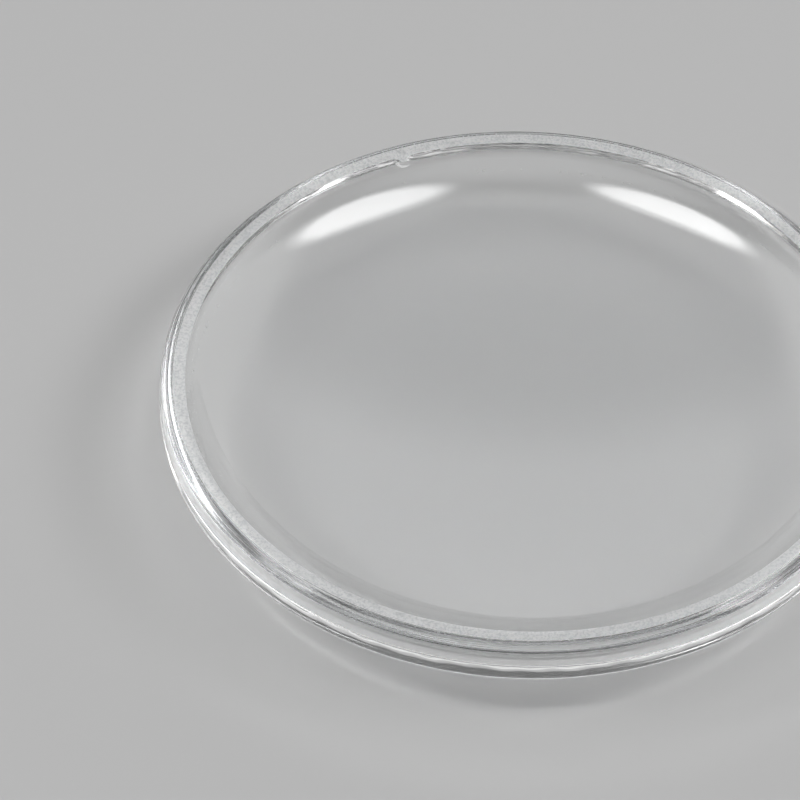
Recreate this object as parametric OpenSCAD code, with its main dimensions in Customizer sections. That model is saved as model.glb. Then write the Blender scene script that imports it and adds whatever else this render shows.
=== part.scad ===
// Watch glass: a shallow round dish, cut from clear glass plate and sagged into a mould,
// which leaves a gently curved bottom and an edge that turns up to the rim.
// Millimetres, +Z up. The origin is the lowest point of the convex underside.

/* [Dish] */
// Largest outside diameter, across the upright wall of the rim
outside_d = 50; // [44:1:60]
// Radius of the gently curved bottom, on its underside
curve_r = 78; // [70:1:100]
// Radius of the bend that turns the edge up, on the underside
edge_r = 12; // [9:0.5:14]
// Steepest slope of the turned-up edge, in degrees
edge_slope = 45; // [40:1:48]
// Thickness of the glass, the same from the middle to the turned-up edge
glass_t = 3.25; // [2.9:0.05:3.5]

/* [Rim] */
// Width of the flat that is ground on top of the rim
land_w = 0.75; // [0.5:0.05:1]
// Radius that rounds the ground flat into the upright wall
top_r = 1; // [0.6:0.1:1.1]
// Radius that rounds the upright wall into the underside
foot_r = 1.45; // [1.2:0.05:1.7]

/* [Hidden] */

// Number of sides that a preview draws a full circle with
$fn = 240;
// Distance that the outlines reach past the glass where another outline cuts them
reach = 2;
// Depth by which curves that run into each other cross, so that they never only touch
overlap = 0.002;

// A length to the nearest micron, so that lines and arcs which meet share one point.
function micron(length) = round(length * 1000) / 1000;

outer_r = outside_d / 2;
land_out_r = outer_r - top_r;
land_in_r = land_out_r - land_w;
foot_x = outer_r - foot_r;

// Centre of the bend. It lies inside the bottom's sphere, and the foot's arc inside the bend.
foot_gap = edge_r - foot_r + overlap;
bend_gap = curve_r - edge_r + overlap;
bend_x = micron(foot_x - foot_gap * sin(edge_slope));
bottom_slope = asin(bend_x / bend_gap);
bend_z = micron(curve_r - bend_gap * cos(bottom_slope));
foot_z = micron(bend_z - foot_gap * cos(edge_slope));

// Where the bend starts and ends on the underside, measured from the axis.
bend_start = micron(curve_r * sin(bottom_slope));
bend_end = micron(bend_x + edge_r * sin(edge_slope));

// The same bottom and bend on the concave face. Above the bend it is straight, up to the rim.
inner_r = curve_r - glass_t;
inner_edge_r = edge_r - glass_t;
inner_start = micron(inner_r * sin(bottom_slope));
slope_x = micron(bend_x + (inner_edge_r - overlap) * sin(edge_slope));
slope_z = micron(bend_z - (inner_edge_r - overlap) * cos(edge_slope));

// The ground flat lies at the height where the concave face reaches its inner edge.
rim_z = micron(slope_z + (land_in_r - slope_x) * tan(edge_slope));
top_z = rim_z - top_r;
wall_middle = (foot_z + top_z) / 2;

// Half-section of what lies under the turned-up edge's bend.
module bend_section() {
    intersection() {
        translate([bend_x, bend_z])
            circle(r = edge_r);
        translate([0, -reach])
            square([bend_end, wall_middle + reach]);
    }
}

// Half-section of the blank: what lies inside the rim's wall and below the ground flat.
module blank_section() {
    polygon([
        [0, -reach],
        [bend_start, -reach],
        [bend_start, foot_z],
        [outer_r, foot_z],
        [outer_r, top_z],
        [land_out_r, top_z],
        [land_out_r, rim_z],
        [0, rim_z]
    ]);
    bend_section();
    translate([land_out_r, top_z])
        circle(r = top_r);
    translate([foot_x, foot_z])
        circle(r = foot_r);
}

// Half-section of the space inside the dish, and of the air above it.
module bowl_section() {
    intersection() {
        union() {
            polygon([
                [0, 0],
                [inner_start, 0],
                [inner_start, slope_z],
                [slope_x, slope_z],
                [slope_x + reach, slope_z + reach * tan(edge_slope)],
                [0, slope_z + reach * tan(edge_slope)]
            ]);
            translate([bend_x, bend_z])
                circle(r = inner_edge_r);
        }
        translate([0, curve_r])
            circle(r = inner_r);
    }
}

// Half-section of the glass, on the +X side of the dish's axis.
module glass_section() {
    difference() {
        intersection() {
            blank_section();
            translate([0, curve_r])
                circle(r = curve_r);
        }
        bowl_section();
    }
}

module dish() {
    color([0.93, 0.95, 0.95, 0.45])
        rotate_extrude()
            glass_section();
}

dish();
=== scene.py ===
import math
import random

import bpy
import numpy as np
from mathutils import Matrix, Vector

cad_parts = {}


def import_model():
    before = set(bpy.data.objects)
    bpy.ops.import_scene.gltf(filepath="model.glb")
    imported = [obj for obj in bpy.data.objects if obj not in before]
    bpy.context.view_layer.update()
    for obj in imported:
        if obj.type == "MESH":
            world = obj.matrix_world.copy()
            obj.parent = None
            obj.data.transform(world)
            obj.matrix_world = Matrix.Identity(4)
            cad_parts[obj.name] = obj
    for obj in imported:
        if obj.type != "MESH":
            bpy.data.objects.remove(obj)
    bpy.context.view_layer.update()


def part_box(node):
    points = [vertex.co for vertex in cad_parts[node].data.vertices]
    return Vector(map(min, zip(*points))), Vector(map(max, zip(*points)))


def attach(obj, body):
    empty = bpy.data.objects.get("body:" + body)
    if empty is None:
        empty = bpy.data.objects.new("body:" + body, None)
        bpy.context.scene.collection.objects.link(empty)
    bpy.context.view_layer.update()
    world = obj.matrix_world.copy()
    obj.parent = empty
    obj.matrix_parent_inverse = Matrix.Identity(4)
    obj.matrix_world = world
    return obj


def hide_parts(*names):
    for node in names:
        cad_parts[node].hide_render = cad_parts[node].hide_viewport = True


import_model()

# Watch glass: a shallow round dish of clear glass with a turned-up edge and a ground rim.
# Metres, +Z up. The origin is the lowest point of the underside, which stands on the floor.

MM = 0.001
MICRON = 0.000001

# ---------------------------------------------------------------- the dish's dimensions

BOX_LOW, BOX_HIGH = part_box("dish")
OUTER_R = (BOX_HIGH.x - BOX_LOW.x) / 2
RIM_Z = BOX_HIGH.z

CURVE_R = 78 * MM                # radius of the bottom, on its convex underside
EDGE_R = 12 * MM                 # radius of the bend that turns the edge up, on the underside
EDGE_SLOPE = math.radians(45)    # steepest slope of the turned-up edge
GLASS_T = 3.25 * MM              # thickness of the glass
TOP_R = 1 * MM                   # rounding between the ground flat and the upright wall
FOOT_R = 1.45 * MM               # rounding between the upright wall and the underside
TOP_TURN = math.radians(79)      # angle of the top rounding that is left beside the ground flat
LIP_R = 0.05 * MM                # rounding of the inner edge of the ground flat
SATIN_TURN = math.radians(30)    # angle of the top rounding that belongs to the satin wall
SATIN_DROP = 1.55 * MM           # height of the rim above the satin wall's foot

# Fine grooves run along both sides of the satin wall and beside the ground flat.
GROOVE_HALF_WIDTH = 0.06 * MM
GROOVE_DEPTH = 0.02 * MM
LAND_GROOVE_DEPTH = 0.032 * MM   # of the groove beside the ground flat, measured from the flat
GROOVE_HALF_TURN = GROOVE_HALF_WIDTH / TOP_R

TOP_X = OUTER_R - TOP_R
TOP_Z = RIM_Z - TOP_R
FOOT_X = OUTER_R - FOOT_R
BEND_X = FOOT_X - (EDGE_R - FOOT_R) * math.sin(EDGE_SLOPE)
BOTTOM_SLOPE = math.asin(BEND_X / (CURVE_R - EDGE_R))
BEND_Z = CURVE_R - (CURVE_R - EDGE_R) * math.cos(BOTTOM_SLOPE)
FOOT_Z = BEND_Z - (EDGE_R - FOOT_R) * math.cos(EDGE_SLOPE)
INNER_R = CURVE_R - GLASS_T
INNER_EDGE_R = EDGE_R - GLASS_T
SLOPE_X = BEND_X + INNER_EDGE_R * math.sin(EDGE_SLOPE)
SLOPE_Z = BEND_Z - INNER_EDGE_R * math.cos(EDGE_SLOPE)
LAND_IN_R = SLOPE_X + (RIM_Z - SLOPE_Z) / math.tan(EDGE_SLOPE)

# The rounding's last straight facet meets the ground flat at a shallow angle.
FACET_X = TOP_X + TOP_R * math.cos(TOP_TURN)
FACET_Z = TOP_Z + TOP_R * math.sin(TOP_TURN)
LAND_OUT_R = FACET_X - (RIM_Z - FACET_Z) * math.tan(TOP_TURN)

SATIN_LOW_Z = RIM_Z - SATIN_DROP
SATIN_TOP_Z = TOP_Z + TOP_R * math.sin(SATIN_TURN)
RIM_LOW_Z = FOOT_Z - FOOT_R * math.cos(EDGE_SLOPE)

# Centres of the roundings, and the directions from them in which the bend starts and ends.
TOP_CENTRE = (TOP_X, TOP_Z)
FOOT_CENTRE = (FOOT_X, FOOT_Z)
BEND_CENTRE = (BEND_X, BEND_Z)
BEND_START = BOTTOM_SLOPE - math.pi / 2
BEND_END = EDGE_SLOPE - math.pi / 2

# ---------------------------------------------------------------- the mesh of the glass

POLISHED, GROUND = 0, 1          # the glass's two finishes, as its material slots
RIM_COUNT = 1152                 # vertices in a ring of the rim
BEND_COUNT = RIM_COUNT // 2      # vertices in a ring of the bend
DISH_STEP = 0.9 * MM             # distance between rings on the bottom
BEND_STEP = 0.28 * MM            # distance between rings on the bend
RIM_STEP = 0.13 * MM             # distance between rings on the rim's wall and roundings
LAND_STEP = 0.08 * MM            # distance between rings on the ground flat and beside it
LIP_STEP = LIP_R / 4             # distance between rings on the flat's inner edge
FINE_TURN = math.radians(50)     # angle of the top rounding above which its rings stand closer
SLOPE_WIDTH = 0.55 * MM          # width of the fine rings on the inner side

# Rings of the bottom beyond each radius have the rim's number of vertices divided by this.
DISH_COUNTS = ((10.0 * MM, 4), (5.0 * MM, 8), (2.6 * MM, 16), (0.0, 32))

# Small chips stand along the inner edge of the ground flat, and one larger nick.
CHIP_SEED = 5
CHIP_COUNT = 24
CHIP_HALF_WIDTH = 0.16 * MM      # of the widest
CHIP_LEAST_WIDTH = 0.3           # the narrowest's share of it
CHIP_DEPTH = 0.022 * MM          # of the deepest
CHIP_LEAST_DEPTH = 0.25          # the shallowest's share of it
NICK_AZIMUTH = math.radians(113.6)
NICK_HALF_WIDTH = 0.42 * MM
NICK_DEPTH = 0.36 * MM
MARK_REACH = 2.5                 # half widths from a mark's middle where it ends
MARK_LEAN = 0.3                  # share of its depth by which a mark also moves glass inwards

# Vertices crowd together at the nick.
CROWD_WIDTH = 0.055              # radians on each side of it
CROWD_SHARE = 0.75               # how much closer they stand

# Unevenness of the hand-ground wall and roundings: height in microns, waves round the rim,
# radians per metre of height, and where it starts in radians.
WAVES = ((2.2, 17, 1400, 0.0), (1.6, 31, -2100, 1.0), (1.1, 67, 3900, 2.0))
WAVE_INSET = 5 * MICRON          # keeps the waves inside the true outline
WAVE_LOW_EASE = 0.6 * MM         # height in which they start above the underside
WAVE_TOP_EASE = 0.1 * MM         # height in which they end below the ground flat


def turned(centre, radius, angle):
    """A point on a circle in the half-section. The angle is from +X."""
    return centre[0] + radius * math.cos(angle), centre[1] + radius * math.sin(angle)


def arc(centre, radius, start, end, step):
    """Points of a circular arc in the half-section, without its first."""
    count = max(1, round(abs(end - start) * radius / step))
    return [turned(centre, radius, start + (end - start) * (i + 1) / count) for i in range(count)]


def line(start, end, step):
    """Points of a straight line in the half-section, without its first."""
    count = max(1, round(math.dist(start, end) / step))
    shares = [(i + 1) / count for i in range(count)]
    return [(start[0] + (end[0] - start[0]) * s, start[1] + (end[1] - start[1]) * s) for s in shares]


def bottom_rings(radius):
    """Rings of one spherical face of the bottom, from the middle out, as (r, z, count, finish)."""
    r_end = radius * math.sin(BOTTOM_SLOPE)
    steps = round(r_end / DISH_STEP)
    rings = []
    for i in range(1, steps + 1):
        r = r_end * i / steps
        share = next(part for limit, part in DISH_COUNTS if r > limit)
        rings.append((r, CURVE_R - math.sqrt(radius ** 2 - r ** 2), RIM_COUNT // share, POLISHED))
    return rings


def lower_rim():
    """The underside's bend, the foot and the satin wall, as three outlines in the half-section."""
    under = arc(BEND_CENTRE, EDGE_R, BEND_START, BEND_END, BEND_STEP)
    foot = arc(FOOT_CENTRE, FOOT_R, BEND_END, 0, RIM_STEP)
    foot += line(foot[-1], (OUTER_R, SATIN_LOW_Z - GROOVE_HALF_WIDTH), RIM_STEP)
    foot.append((OUTER_R - GROOVE_DEPTH, SATIN_LOW_Z))
    satin = [(OUTER_R, SATIN_LOW_Z + GROOVE_HALF_WIDTH)]
    satin += line(satin[-1], (OUTER_R, TOP_Z), RIM_STEP)
    satin += arc(TOP_CENTRE, TOP_R, 0, SATIN_TURN - GROOVE_HALF_TURN, RIM_STEP)
    satin.append(turned(TOP_CENTRE, TOP_R - GROOVE_DEPTH, SATIN_TURN))
    return under, foot, satin


def upper_rim():
    """The lined rounding, the ground flat and the inner side, as three outlines."""
    lined = [turned(TOP_CENTRE, TOP_R, SATIN_TURN + GROOVE_HALF_TURN)]
    lined += arc(TOP_CENTRE, TOP_R, SATIN_TURN + GROOVE_HALF_TURN, FINE_TURN, RIM_STEP)
    lined += arc(TOP_CENTRE, TOP_R, FINE_TURN, TOP_TURN, LAND_STEP)
    lined.append((LAND_OUT_R + GROOVE_HALF_WIDTH, RIM_Z - LAND_GROOVE_DEPTH))
    lined.append((LAND_OUT_R, RIM_Z))
    land = line(lined[-1], (LAND_IN_R + LIP_R, RIM_Z), LAND_STEP)
    lip_centre = (LAND_IN_R + LIP_R, RIM_Z - LIP_R)
    land += arc(lip_centre, LIP_R, math.pi / 2, math.pi / 2 + EDGE_SLOPE, LIP_STEP)
    slope = line(land[-1], (LAND_IN_R - SLOPE_WIDTH, RIM_Z - SLOPE_WIDTH), LAND_STEP)
    return lined, land, slope


def rim_rings():
    """Rings round the rim, from the end of the bottom's underside to the start of its bowl."""
    under, foot, satin = lower_rim()
    lined, land, slope = upper_rim()
    bowl = line(slope[-1], (SLOPE_X, SLOPE_Z), BEND_STEP)
    bowl += arc(BEND_CENTRE, INNER_EDGE_R, BEND_END, BEND_START, BEND_STEP)
    rings = [(r, z, BEND_COUNT, POLISHED) for r, z in under]
    rings += [(r, z, RIM_COUNT, POLISHED) for r, z in foot + satin + lined]
    rings += [(r, z, RIM_COUNT, GROUND) for r, z in land]
    rings += [(r, z, RIM_COUNT, POLISHED) for r, z in slope]
    rings += [(r, z, BEND_COUNT, POLISHED) for r, z in bowl]
    return rings


def azimuths(count):
    """The azimuth of each vertex in a ring. The vertices crowd together at the nick."""
    even = 2 * np.pi * np.arange(count) / count
    away = (even - NICK_AZIMUTH + np.pi) % (2 * np.pi) - np.pi
    return even - CROWD_SHARE * away * np.exp(-(away / CROWD_WIDTH) ** 2)


def rim_marks():
    """The chips and the nick, each as azimuth, half width and depth."""
    pick = random.Random(CHIP_SEED)
    marks = []
    for _ in range(CHIP_COUNT):
        size = pick.random() ** 2
        half_width = CHIP_HALF_WIDTH * (CHIP_LEAST_WIDTH + (1 - CHIP_LEAST_WIDTH) * size)
        depth = CHIP_DEPTH * (CHIP_LEAST_DEPTH + (1 - CHIP_LEAST_DEPTH) * size)
        marks.append((pick.uniform(0, 2 * math.pi), half_width, depth))
    marks.append((NICK_AZIMUTH, NICK_HALF_WIDTH, NICK_DEPTH))
    return marks


def wear(angle, r, z, marks):
    """How far the marks push down each vertex of one ring."""
    down = np.zeros(len(angle))
    across = math.hypot(r - LAND_IN_R, z - RIM_Z)
    for mark_angle, half_width, depth in marks:
        if across > MARK_REACH * half_width:
            continue
        away = (angle - mark_angle + np.pi) % (2 * np.pi) - np.pi
        along = away * LAND_IN_R
        down += depth * np.exp(-(along / half_width) ** 2 - (across / half_width) ** 2)
    return down


def waviness(angle, z):
    """Unevenness of the hand-ground wall and roundings, in metres outwards."""
    waves = [size * np.sin(turns * angle + rise * z + start) for size, turns, rise, start in WAVES]
    return sum(waves) * MICRON


def ring_points(r, z, count, marks):
    """The vertices of one ring, with the rim's waviness and marks."""
    angle = azimuths(count)
    radius = np.full(count, r)
    height = np.full(count, z)
    if r > LAND_OUT_R and z > RIM_LOW_Z:
        ease = min(1.0, (z - RIM_LOW_Z) / WAVE_LOW_EASE, (RIM_Z - z) / WAVE_TOP_EASE)
        radius += ease * (waviness(angle, z) - WAVE_INSET)
    if r > SLOPE_X and z > SLOPE_Z:
        dent = wear(angle, r, z, marks)
        radius -= MARK_LEAN * dent
        height -= dent
    x = radius * np.cos(angle)
    y = radius * np.sin(angle)
    return list(zip(x.tolist(), y.tolist(), height.tolist()))


def bridge(low, low_count, high, high_count):
    """Faces between two rings of vertices, where one may have twice the vertices of the other."""
    faces = []
    if low_count == high_count:
        for i in range(low_count):
            j = (i + 1) % low_count
            faces.append((low + i, low + j, high + j, high + i))
    elif high_count == 2 * low_count:
        for i in range(low_count):
            j = (i + 1) % low_count
            end = (2 * i + 2) % high_count
            faces.append((low + i, high + 2 * i + 1, high + 2 * i))
            faces.append((low + i, low + j, high + 2 * i + 1))
            faces.append((low + j, high + end, high + 2 * i + 1))
    else:
        for i in range(high_count):
            j = (i + 1) % high_count
            end = (2 * i + 2) % low_count
            faces.append((high + i, low + 2 * i, low + 2 * i + 1))
            faces.append((high + i, low + 2 * i + 1, high + j))
            faces.append((high + j, low + 2 * i + 1, low + end))
    return faces


def glass_surface():
    """Vertices and faces of the closed surface of the glass, and the finish of each face."""
    rings = bottom_rings(CURVE_R) + rim_rings() + bottom_rings(INNER_R)[-2::-1]
    marks = rim_marks()
    verts = [(0.0, 0.0, 0.0)]
    starts = []
    for r, z, count, _ in rings:
        starts.append(len(verts))
        verts += ring_points(r, z, count, marks)
    verts.append((0.0, 0.0, GLASS_T))

    first = rings[0][2]
    faces = [(0, starts[0] + (i + 1) % first, starts[0] + i) for i in range(first)]
    finishes = [POLISHED] * first
    for k in range(len(rings) - 1):
        band = bridge(starts[k], rings[k][2], starts[k + 1], rings[k + 1][2])
        faces += band
        finishes += [rings[k + 1][3]] * len(band)
    last = rings[-1][2]
    faces += [(len(verts) - 1, starts[-1] + i, starts[-1] + (i + 1) % last) for i in range(last)]
    finishes += [POLISHED] * last
    return verts, faces, finishes


def glass_mesh():
    """The glass as one mesh. The nick's broken surface is ground as well as the flat."""
    verts, faces, finishes = glass_surface()
    mesh = bpy.data.meshes.new("watch_glass")
    mesh.from_pydata(verts, [], faces)
    centres = np.empty(3 * len(faces))
    mesh.polygons.foreach_get("center", centres)
    nick = (LAND_IN_R * math.cos(NICK_AZIMUTH), LAND_IN_R * math.sin(NICK_AZIMUTH), RIM_Z)
    from_nick = np.linalg.norm(centres.reshape(-1, 3) - nick, axis=1)
    finishes = np.where(from_nick < NICK_HALF_WIDTH, GROUND, finishes)
    mesh.polygons.foreach_set("use_smooth", [True] * len(faces))
    mesh.materials.append(polished_glass())
    mesh.materials.append(ground_glass())
    mesh.polygons.foreach_set("material_index", finishes)
    mesh.update()
    return mesh


# ---------------------------------------------------------------- materials

# Each density says how many patches of a noise fit in a metre, and each height is in microns.
GLASS_COLOUR = (0.985, 0.99, 0.99, 1)
GLASS_IOR = 1.52
HAZE_DENSITY = 160.0                     # of the faint haze on the polished glass
HAZE_ROUGHNESS = 0.03

LINE_SPREAD = 35.0                       # density of the grinding lines along the rim
LINE_DENSITY = 7000.0                    # density of the grinding lines across the rim
LINE_ROUGHNESS = (0.18, 0.40)
LINE_HEIGHT = 7.0
# Painted shade: a grey that darkens the whole lined rounding, most in the hollows between its
# grinding lines.
LINE_PAINTED_SHADE_COLOUR = (0.50, 0.52, 0.53, 1)

SATIN_IN_R = OUTER_R - 0.4 * MM          # the satin wall lies outside this radius
SATIN_DENSITY = 420.0
SATIN_ROUGHNESS = (0.36, 0.42)
SOFT_EDGE = 0.02 * MM                    # distance in which one finish turns into the next

# Tiny chips along the edges of the rounding.
TINY_LAND_R = LAND_OUT_R + 0.09 * MM     # radius of the line of them beside the ground flat
TINY_DENSITY = 5200.0
TINY_CLUSTER_DENSITY = 900.0
TINY_ROUGHNESS = 0.45
TINY_DEPTH = 12.0

GROUND_CLEARNESS = 0.55                  # share of the light that a ground surface lets through
GRAIN_DENSITY = 6000.0
GRAIN_ROUGHNESS = (0.35, 0.62)
GRAIN_HEIGHT = 16.0
# Painted shade: a grey that darkens the hollows of the ground grain.
GRAIN_PAINTED_SHADE_COLOUR = (0.70, 0.72, 0.73, 1)

FLOOR_COLOUR = (0.58, 0.58, 0.58, 1)


class Graph:
    """Short calls that add nodes to the tree of a material, a light or the world."""

    def __init__(self, owner, shader):
        owner.use_nodes = True
        self.tree = owner.node_tree
        self.shader = self.tree.nodes[shader]

    def node(self, kind, inputs=None, **settings):
        new = self.tree.nodes.new(kind)
        for key, value in settings.items():
            setattr(new, key, value)
        for key, value in (inputs or {}).items():
            self.feed(new.inputs[key], value)
        return new

    def feed(self, socket, value):
        if isinstance(value, bpy.types.NodeSocket):
            self.tree.links.new(value, socket)
        else:
            socket.default_value = value

    def math(self, operation, *values):
        inputs = dict(enumerate(values))
        return self.node("ShaderNodeMath", inputs, operation=operation).outputs[0]

    def ramp(self, value, low, high, out_low=0.0, out_high=1.0, smooth=True):
        kind = "SMOOTHSTEP" if smooth else "LINEAR"
        inputs = {"Value": value, "From Min": low, "From Max": high}
        inputs.update({"To Min": out_low, "To Max": out_high})
        return self.node("ShaderNodeMapRange", inputs, interpolation_type=kind).outputs["Result"]

    def near(self, value, middle, full, none):
        """1 within the distance full of the middle, 0 beyond the distance none."""
        return self.ramp(self.math("ABSOLUTE", self.math("SUBTRACT", value, middle)), none, full)

    def noise(self, vector, scale, detail=2.0, roughness=0.5, w=None):
        inputs = {"Vector": vector, "Scale": scale, "Detail": detail, "Roughness": roughness}
        if w is not None:
            inputs["W"] = w
        size = "3D" if w is None else "4D"
        return self.node("ShaderNodeTexNoise", inputs, noise_dimensions=size).outputs["Fac"]

    def relief(self, microns):
        """Bumps of the given height on the shader."""
        inputs = {"Strength": 1.0, "Distance": MICRON, "Height": microns}
        self.feed(self.shader.inputs["Normal"], self.node("ShaderNodeBump", inputs).outputs["Normal"])

    def tint(self, factor, colour):
        """The shader's colour, which goes from the glass's own to the given one."""
        mix = self.node("ShaderNodeMix", {"Factor": factor}, data_type="RGBA")
        self.feed(mix.inputs["A"], GLASS_COLOUR)
        self.feed(mix.inputs["B"], colour)
        self.feed(self.shader.inputs["Base Color"], mix.outputs["Result"])


def glass(name, clearness):
    """A glass material, its graph, and a point on the glass."""
    material = bpy.data.materials.new(name)
    g = Graph(material, "Principled BSDF")
    g.shader.inputs["IOR"].default_value = GLASS_IOR
    g.shader.inputs["Transmission Weight"].default_value = clearness
    return material, g, g.node("ShaderNodeTexCoord").outputs["Object"]


def grinding_lines(g, x, y, z, r):
    """Lines that run round the rim: close together across it, and long along it."""
    vector = g.node("ShaderNodeCombineXYZ")
    g.feed(vector.inputs["X"], g.math("MULTIPLY", x, LINE_SPREAD))
    g.feed(vector.inputs["Y"], g.math("MULTIPLY", y, LINE_SPREAD))
    g.feed(vector.inputs["Z"], g.math("MULTIPLY", r, LINE_DENSITY))
    across = g.math("MULTIPLY", z, LINE_DENSITY)
    return g.noise(vector.outputs["Vector"], 1.0, 2.0, 0.6, w=across)


def tiny_chips(g, place, z, r):
    """Where tiny chips sparkle: thickly beside the ground flat, and sparsely above the satin."""
    near_flat = g.near(r, TINY_LAND_R, 0.04 * MM, 0.08 * MM)
    near_satin = g.near(z, SATIN_TOP_Z, 0.03 * MM, 0.06 * MM)
    sparse = g.ramp(g.noise(place, TINY_CLUSTER_DENSITY, 1.0), 0.52, 0.6)
    speck = g.ramp(g.noise(place, TINY_DENSITY, 1.0), 0.62, 0.68)
    edges = g.math("MAXIMUM", near_flat, g.math("MULTIPLY", near_satin, sparse))
    return g.math("MULTIPLY", edges, speck)


def polished_glass():
    """Clear colourless glass, with a lined rounding beside the ground flat and a satin wall. Painted
    shade greys the lined rounding, most in the hollows between its grinding lines.
    """
    material, g, place = glass("clear_glass", 1.0)
    parts = g.node("ShaderNodeSeparateXYZ", {"Vector": place})
    x, y, z = parts.outputs["X"], parts.outputs["Y"], parts.outputs["Z"]
    r = g.math("SQRT", g.math("ADD", g.math("MULTIPLY", x, x), g.math("MULTIPLY", y, y)))

    # Where each finish lies on the outer side of the rim.
    rim = g.ramp(r, LAND_OUT_R, LAND_OUT_R + 2 * SOFT_EDGE)
    above_satin = g.ramp(z, SATIN_TOP_Z - SOFT_EDGE, SATIN_TOP_Z + SOFT_EDGE)
    lined = g.math("MULTIPLY", rim, above_satin)
    wall = g.math("SUBTRACT", g.ramp(z, SATIN_LOW_Z, SATIN_LOW_Z + 1.5 * SOFT_EDGE), above_satin)
    wall = g.math("MULTIPLY", wall, g.ramp(r, SATIN_IN_R, SATIN_IN_R + 5 * SOFT_EDGE))
    chipped = g.math("MULTIPLY", rim, tiny_chips(g, place, z, r))
    lines = grinding_lines(g, x, y, z, r)

    streaks = g.math("MULTIPLY", lined, g.ramp(lines, 0.42, 0.66, *LINE_ROUGHNESS))
    mottle = g.noise(place, SATIN_DENSITY, 3.0, 0.6)
    satin = g.math("MULTIPLY", wall, g.ramp(mottle, 0.35, 0.65, *SATIN_ROUGHNESS))
    haze = g.ramp(g.noise(place, HAZE_DENSITY, 4.0, 0.6), 0.62, 0.85, 0.0, HAZE_ROUGHNESS)
    rough = g.math("MAXIMUM", streaks, g.math("MULTIPLY", chipped, TINY_ROUGHNESS))
    rough = g.math("MAXIMUM", rough, g.math("MAXIMUM", satin, haze))
    g.feed(g.shader.inputs["Roughness"], rough)

    ridges = g.math("MULTIPLY", lined, g.math("MULTIPLY", lines, LINE_HEIGHT))
    g.relief(g.math("ADD", ridges, g.math("MULTIPLY", chipped, -TINY_DEPTH)))
    # Painted shade: the lined rounding goes grey, darkest in the hollows between the grinding lines.
    g.tint(g.math("MULTIPLY", lined, g.ramp(lines, 0.6, 0.42, 0.35, 1.0)), LINE_PAINTED_SHADE_COLOUR)
    return material


def ground_glass():
    """Glass ground matt, with a grain whose hollows are darkened by painted shade."""
    material, g, place = glass("ground_glass", GROUND_CLEARNESS)
    grain = g.noise(place, GRAIN_DENSITY, 3.0, 0.65)
    g.feed(g.shader.inputs["Roughness"], g.ramp(grain, 0.3, 0.7, *GRAIN_ROUGHNESS, smooth=False))
    g.relief(g.math("MULTIPLY", grain, GRAIN_HEIGHT))
    # Painted shade: the grain's hollows go grey.
    g.tint(g.ramp(grain, 0.58, 0.38), GRAIN_PAINTED_SHADE_COLOUR)
    return material


def floor_paint():
    """Plain pale matt floor."""
    material = bpy.data.materials.new("floor")
    g = Graph(material, "Principled BSDF")
    g.shader.inputs["Base Color"].default_value = FLOOR_COLOUR
    g.shader.inputs["Roughness"].default_value = 0.55
    return material


# ---------------------------------------------------------------- studio

FLOOR_HALF = 3.0
FLOOR_GAP = 5 * MICRON           # between the floor and the lowest point of the glass
LIGHT_DISTANCE = 1.0
LIGHT_POWER = 4.4

# One soft light on each side: name, azimuth, elevation and turn in degrees, length, width.
LIGHTS = (
    ("softbox_right", -20.0, 53.0, -38.5, 0.80, 0.39),
    ("softbox_left", 209.7, 56.0, 29.0, 0.82, 0.33),
)

BACKDROP_STRENGTH = 0.9          # brightness of the pale backdrop behind the dish
STUDIO_STRENGTH = 0.15           # brightness of the rest of the studio

CAMERA_DISTANCE = 552.5 * MM
CAMERA_ELEVATION = math.radians(46.35)
CAMERA_ROLL = math.radians(1.73)
CAMERA_LENS = 360.0
CAMERA_AIM = Vector((-0.34 * OUTER_R, -0.099 * OUTER_R, RIM_Z))


def link(name, data):
    """A new object in the scene."""
    thing = bpy.data.objects.new(name, data)
    bpy.context.scene.collection.objects.link(thing)
    return thing


def floor():
    """A plain floor that the dish stands on."""
    corners = [(-1, -1), (1, -1), (1, 1), (-1, 1)]
    mesh = bpy.data.meshes.new("floor")
    mesh.from_pydata([(a * FLOOR_HALF, b * FLOOR_HALF, 0) for a, b in corners], [], [(0, 1, 2, 3)])
    mesh.materials.append(floor_paint())
    plane = link("floor", mesh)
    plane.location.z = -FLOOR_GAP


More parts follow.
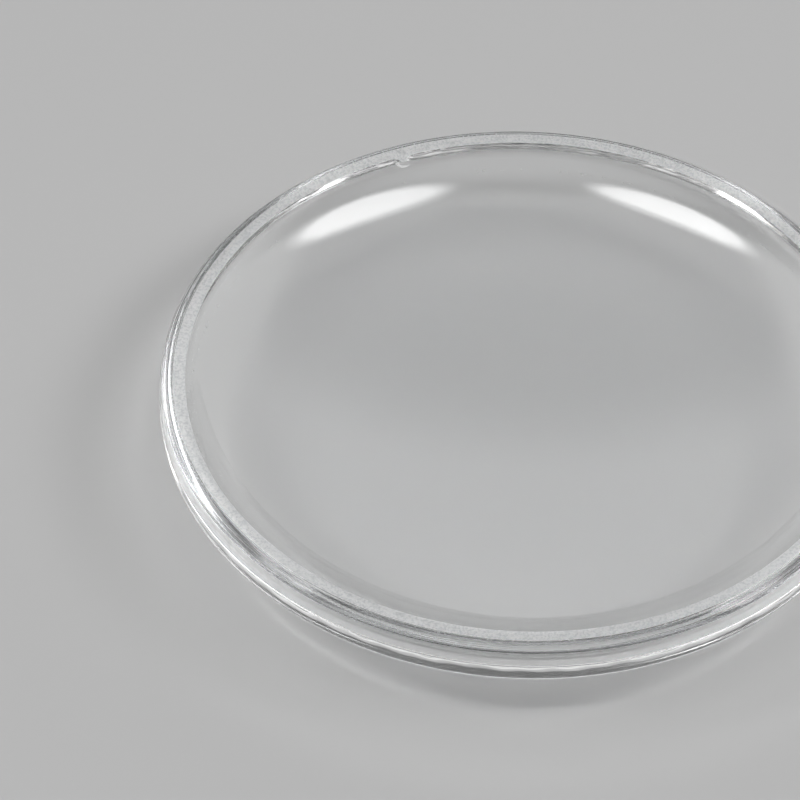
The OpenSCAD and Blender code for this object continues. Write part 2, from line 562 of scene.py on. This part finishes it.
def softbox(name, azimuth, elevation, turn, length, width):
    """A large soft oval light that faces the dish and fades towards its edge."""
    azimuth, elevation, turn = math.radians(azimuth), math.radians(elevation), math.radians(turn)
    flat = math.cos(elevation)
    away = Vector((flat * math.cos(azimuth), flat * math.sin(azimuth), math.sin(elevation)))
    level = Vector((-math.sin(azimuth), math.cos(azimuth), 0))
    length_axis = math.cos(turn) * level + math.sin(turn) * away.cross(level)
    data = bpy.data.lights.new(name, "AREA")
    data.shape = "ELLIPSE"
    data.size = length
    data.size_y = width
    data.energy = LIGHT_POWER
    g = Graph(data, "Emission")
    across = g.node("ShaderNodeNewGeometry").outputs["Parametric"]
    middle = (0.5, 0.5, 0.0)
    off_middle = g.node("ShaderNodeVectorMath", {0: across, 1: middle}, operation="DISTANCE")
    g.feed(g.shader.inputs["Strength"], g.ramp(off_middle.outputs["Value"], 0.5, 0.3))
    axes = Matrix((length_axis, away.cross(length_axis), away)).transposed().to_4x4()
    link(name, data).matrix_world = Matrix.Translation(away * LIGHT_DISTANCE) @ axes


def world():
    """A dim grey studio with a pale backdrop behind the dish, which ends above eye level."""
    dome = bpy.data.worlds.new("studio")
    g = Graph(dome, "Background")
    way = g.node("ShaderNodeTexCoord").outputs["Generated"]
    parts = g.node("ShaderNodeSeparateXYZ", {"Vector": way})
    behind = g.ramp(parts.outputs["Y"], -0.4, 0.3)
    below_top = g.ramp(parts.outputs["Z"], 0.82, 0.66)
    backdrop = g.math("MULTIPLY", behind, below_top)
    strength = g.ramp(backdrop, 0.0, 1.0, STUDIO_STRENGTH, BACKDROP_STRENGTH, smooth=False)
    g.feed(g.shader.inputs["Strength"], strength)
    g.shader.inputs["Color"].default_value = (1, 1, 1, 1)
    bpy.context.scene.world = dome


def camera():
    """Looks down on the dish from the front, aimed left of it, so that its right side is cut off."""
    data = bpy.data.cameras.new("camera")
    data.sensor_width = 36.0
    data.lens = CAMERA_LENS
    data.clip_start = 0.01
    place = Vector((0, -math.cos(CAMERA_ELEVATION), math.sin(CAMERA_ELEVATION))) * CAMERA_DISTANCE
    turn = (CAMERA_AIM - place).to_track_quat("-Z", "Y").to_matrix().to_4x4()
    eye = link("camera", data)
    eye.matrix_world = Matrix.Translation(place) @ turn @ Matrix.Rotation(CAMERA_ROLL, 4, "Z")
    bpy.context.scene.camera = eye


def settings():
    """Light paths long enough for glass, and plain colours."""
    scene = bpy.context.scene
    scene.view_settings.view_transform = "Standard"
    scene.cycles.max_bounces = 24
    scene.cycles.transmission_bounces = 24
    scene.cycles.glossy_bounces = 12
    scene.cycles.blur_glossy = 0.0


def dish():
    """The glass, which stands for the CAD dish."""
    piece = link("watch_glass", glass_mesh())
    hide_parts("dish")
    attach(piece, "root")


dish()
floor()
for light in LIGHTS:
    softbox(*light)
world()
camera()
settings()
